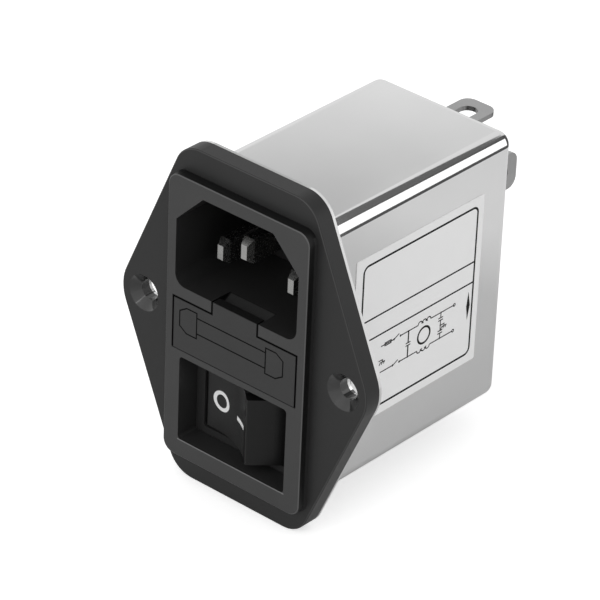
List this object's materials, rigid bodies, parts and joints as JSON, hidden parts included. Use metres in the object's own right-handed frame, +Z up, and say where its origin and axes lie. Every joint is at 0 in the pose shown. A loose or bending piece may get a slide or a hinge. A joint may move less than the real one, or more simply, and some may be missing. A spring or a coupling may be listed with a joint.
{
  "type": "emi line filter",
  "caption": "Panel-mount mains inlet with fuse drawer, rocker switch and line filter in a drawn metal can, with solder tabs at the back.",
  "frame": {"origin": "middle of the two mounting screw holes, on the plane of the flange's rear face, which lies against the panel", "axes": "+X to the right as seen from the front, +Y from the front into the device, +Z up, towards the inlet's earth pin"},
  "size_m": [0.049, 0.0566, 0.0574],
  "materials": {
    "housing_plastic": "fine satin black moulding",
    "rocker_plastic": "smooth black moulding",
    "case_steel": "satin nickel-plated deep-drawn steel",
    "label_film": "silver-white printed film",
    "pin_metal": "nickel-plated brass",
    "tab_metal": "tin-plated brass",
    "rivet_metal": "nickel-plated steel",
    "contact_brass": "bare stamped brass",
    "spring_metal": "bright spring steel",
    "clip_metal": "tinned bronze strip",
    "fuse_glass": "clear",
    "fuse_cap_metal": "nickel-plated",
    "fuse_wire": "drawn",
    "plunger_plastic": "natural nylon",
    "insulator_plastic": "black moulding",
    "board_laminate": "brown paper laminate",
    "core_coating": "green-coated ferrite",
    "enamelled_wire": "enamelled copper",
    "divider_plastic": "natural moulding",
    "film_capacitor": "yellow box",
    "disc_capacitor": "blue lacquer",
    "resistor_body": "beige lacquer",
    "tinned_lead": "tinned copper",
    "wire_brown": "smooth sleeve",
    "wire_blue": "smooth sleeve",
    "wire_green": "smooth sleeve, green and yellow"
  },
  "bodies": {
    "filter": {"bleed_lead_line": "tinned_lead", "bleed_lead_neutral": "tinned_lead", "bleed_resistor": "resistor_body", "choke_core": "core_coating", "choke_divider": "divider_plastic", "choke_winding_line": "enamelled_wire", "choke_winding_neutral": "enamelled_wire", "common_terminal_line": "contact_brass", "common_terminal_neutral": "contact_brass", "contact_terminal_line": "contact_brass", "contact_terminal_neutral": "contact_brass", "earth_lug": "tab_metal", "earth_pin": "pin_metal", "earth_rivet": "rivet_metal", "earth_terminal": "tab_metal", "earth_wire": "wire_green", "filter_board": "board_laminate", "front_housing": "housing_plastic", "fuse_clip_line": "clip_metal", "fuse_clip_load": "clip_metal", "line_insulator": "insulator_plastic", "line_pin": "pin_metal", "line_terminal": "tab_metal", "line_washer": "insulator_plastic", "line_wire": "wire_brown", "metal_case": "case_steel", "neutral_insulator": "insulator_plastic", "neutral_pin": "pin_metal", "neutral_terminal": "tab_metal", "neutral_washer": "insulator_plastic", "neutral_wire": "wire_blue", "rating_label": "label_film", "switch_body": "housing_plastic", "x_capacitor": "film_capacitor", "x_capacitor_lead_line": "tinned_lead", "x_capacitor_lead_neutral": "tinned_lead", "y_capacitor_line": "disc_capacitor", "y_capacitor_line_earth_lead": "tinned_lead", "y_capacitor_line_live_lead": "tinned_lead", "y_capacitor_neutral": "disc_capacitor", "y_capacitor_neutral_earth_lead": "tinned_lead", "y_capacitor_neutral_live_lead": "tinned_lead"},
    "drawer": {"fuse_drawer": "housing_plastic", "fuse_cap_left": "fuse_cap_metal", "fuse_cap_right": "fuse_cap_metal", "fuse_element": "fuse_wire", "fuse_glass": "fuse_glass", "spare_fuse_cap_left": "fuse_cap_metal", "spare_fuse_cap_right": "fuse_cap_metal", "spare_fuse_element": "fuse_wire", "spare_fuse_glass": "fuse_glass"},
    "rocker": {"rocker": "rocker_plastic", "plunger_spring_line": "spring_metal", "plunger_spring_neutral": "spring_metal"},
    "plunger_line": {"plunger_line": "plunger_plastic"},
    "plunger_neutral": {"plunger_neutral": "plunger_plastic"},
    "contact_bar_line": {"contact_bar_line": "contact_brass"},
    "contact_bar_neutral": {"contact_bar_neutral": "contact_brass"}
  },
  "joints": [
    {"name": "rocker_tilt", "type": "hinge", "parent": "filter", "child": "rocker", "pos_m": [0, 0.0043, -0.01385], "axis": [0, 0, 1], "range_deg": [0, 40]},
    {"name": "contact_bar_line_tilt", "type": "hinge", "parent": "filter", "child": "contact_bar_line", "pos_m": [0, 0.0091, -0.01125], "axis": [0, 0, 1], "range_deg": [-16, 0]},
    {"name": "contact_bar_neutral_tilt", "type": "hinge", "parent": "filter", "child": "contact_bar_neutral", "pos_m": [0, 0.0091, -0.01645], "axis": [0, 0, 1], "range_deg": [-16, 0]},
    {"name": "plunger_line_press", "type": "slide", "parent": "rocker", "child": "plunger_line", "axis": [-0.342, -0.9397, 0], "range_m": [0, 0.0006], "stiffness_N_per_m": 400, "springref_m": -0.001, "deforming": ["plunger_spring_line"]},
    {"name": "plunger_neutral_press", "type": "slide", "parent": "rocker", "child": "plunger_neutral", "axis": [-0.342, -0.9397, 0], "range_m": [0, 0.0006], "stiffness_N_per_m": 400, "springref_m": -0.001, "deforming": ["plunger_spring_neutral"]},
    {"name": "drawer_slide", "type": "slide", "parent": "filter", "child": "drawer", "axis": [0, -1, 0], "range_m": [0, 0.014]}
  ],
  "couplings": [
    {"joint": "contact_bar_line_tilt", "follows": "rocker_tilt", "ratio": -0.4},
    {"joint": "contact_bar_neutral_tilt", "follows": "rocker_tilt", "ratio": -0.4}
  ]
}
